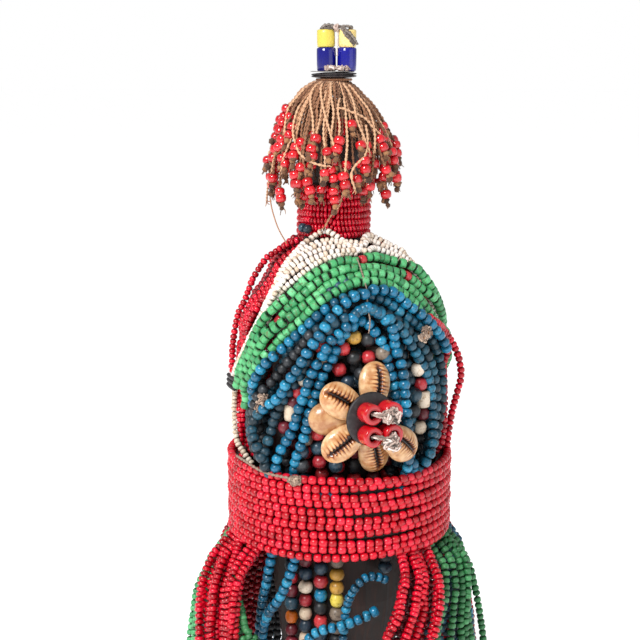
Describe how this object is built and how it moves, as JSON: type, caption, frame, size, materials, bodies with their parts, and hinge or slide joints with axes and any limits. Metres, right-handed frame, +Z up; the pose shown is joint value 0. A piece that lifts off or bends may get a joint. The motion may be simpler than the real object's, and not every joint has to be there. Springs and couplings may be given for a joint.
{
  "type": "beaded wooden doll",
  "caption": "Carved wooden figure dressed in glass bead strands, with a corded tassel for hair, a cowrie rosette, a broad bead belt and a hanging bead skirt.",
  "frame": {"origin": "centre of the base's flat underside", "axes": "+Z up along the figure; the rosette and the chest face -Y"},
  "size_m": [0.112, 0.1119, 0.2697],
  "materials": {
    "wood": "dark, worn, matte",
    "red_beads": "glossy opaque",
    "white_beads": "worn, satin, opaque",
    "green_beads": "worn, satin, opaque",
    "blue_beads": "worn, satin, opaque",
    "teal_beads": "satin, opaque",
    "mixed_beads": "mixed colours, satin, opaque",
    "navy_beads": "glossy opaque",
    "yellow_beads": "satin, opaque",
    "twine": "twisted plant fibre",
    "shell": "polished shell",
    "black_disc": "dark, dull"
  },
  "bodies": {
    "root": {"wooden_figure": "wood", "inner_strand_1": "mixed_beads", "inner_strand_2": "mixed_beads", "inner_strand_3": "mixed_beads", "inner_strand_4": "mixed_beads", "inner_strand_5": "mixed_beads", "inner_strand_6": "mixed_beads", "inner_strand_7": "mixed_beads", "inner_strand_8": "mixed_beads", "white_strands": "white_beads", "green_strands": "green_beads", "blue_strands_outer": "blue_beads", "blue_strands_inner": "blue_beads", "red_strands_left": "red_beads", "red_strands_back": "red_beads", "red_strands_right": "red_beads", "crossing_strand": "blue_beads", "red_side_loop": "red_beads", "belt": "red_beads", "skirt_red_left": "red_beads", "skirt_red_right": "red_beads", "skirt_green_right": "green_beads", "skirt_teal_right": "teal_beads", "skirt_red_back_right": "red_beads", "skirt_green_back": "green_beads", "skirt_blue_back": "blue_beads", "skirt_red_back_left": "red_beads", "skirt_green_left": "green_beads", "skirt_green_front": "green_beads", "opening_strand_left": "blue_beads", "opening_strand_right": "blue_beads", "opening_loop_low": "blue_beads", "opening_loop_high": "blue_beads", "rosette_disc": "black_disc", "rosette_bead_upper_left": "red_beads", "rosette_bead_upper_right": "red_beads", "rosette_bead_lower_left": "red_beads", "rosette_bead_lower_right": "red_beads", "rosette_thread": "twine", "cowrie_top": "shell", "cowrie_upper_left": "shell", "cowrie_left": "shell", "cowrie_lower_left": "shell", "cowrie_bottom": "shell", "cowrie_lower_right": "shell", "neck_wrap": "red_beads", "hair_tassel": "twine", "disc_lower": "black_disc", "disc_upper": "black_disc", "bead_blue_left": "navy_beads", "bead_blue_right": "navy_beads", "bead_yellow_left": "yellow_beads", "bead_yellow_right": "yellow_beads", "top_thread": "twine"}
  },
  "joints": []
}
